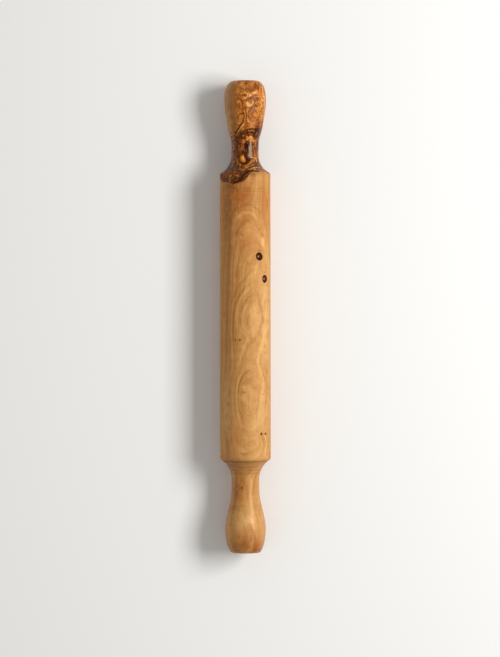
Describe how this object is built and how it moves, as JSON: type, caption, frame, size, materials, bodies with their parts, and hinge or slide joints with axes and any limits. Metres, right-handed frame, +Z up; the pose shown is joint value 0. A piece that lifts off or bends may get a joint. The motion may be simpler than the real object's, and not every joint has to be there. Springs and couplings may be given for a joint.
{
  "type": "french rolling pin",
  "caption": "One-piece turned olive wood rolling pin with a straight barrel, bulb-ended grips cut from the same wood, dead knots and a burl grip.",
  "frame": {"origin": "on the table under the middle of the pin, half way between its two end faces", "axes": "+X along the pin's turning axis towards the burl grip, +Z up from the table the pin lies on"},
  "size_m": [0.4, 0.043, 0.043],
  "materials": {
    "olive_wood": "oiled satin",
    "knot_heart": "oiled satin",
    "knot_bark": "dull",
    "pocket_bark": "dull"
  },
  "bodies": {
    "root": {"turned_body": "olive_wood", "upper_knot_heart": "knot_heart", "upper_knot_bark": "knot_bark", "lower_knot_heart": "knot_heart", "lower_knot_bark": "knot_bark", "neck_knot_heart": "knot_heart", "neck_knot_bark": "knot_bark", "barrel_pin_knot_1": "knot_bark", "barrel_pin_knot_2": "knot_bark", "barrel_pin_knot_3": "knot_bark", "barrel_pin_knot_4": "knot_bark", "grip_pin_knot": "knot_bark", "burl_eye": "knot_bark", "shoulder_bark_pocket": "pocket_bark", "neck_bark_pocket": "pocket_bark", "ridge_bark_pocket": "pocket_bark"}
  },
  "joints": []
}
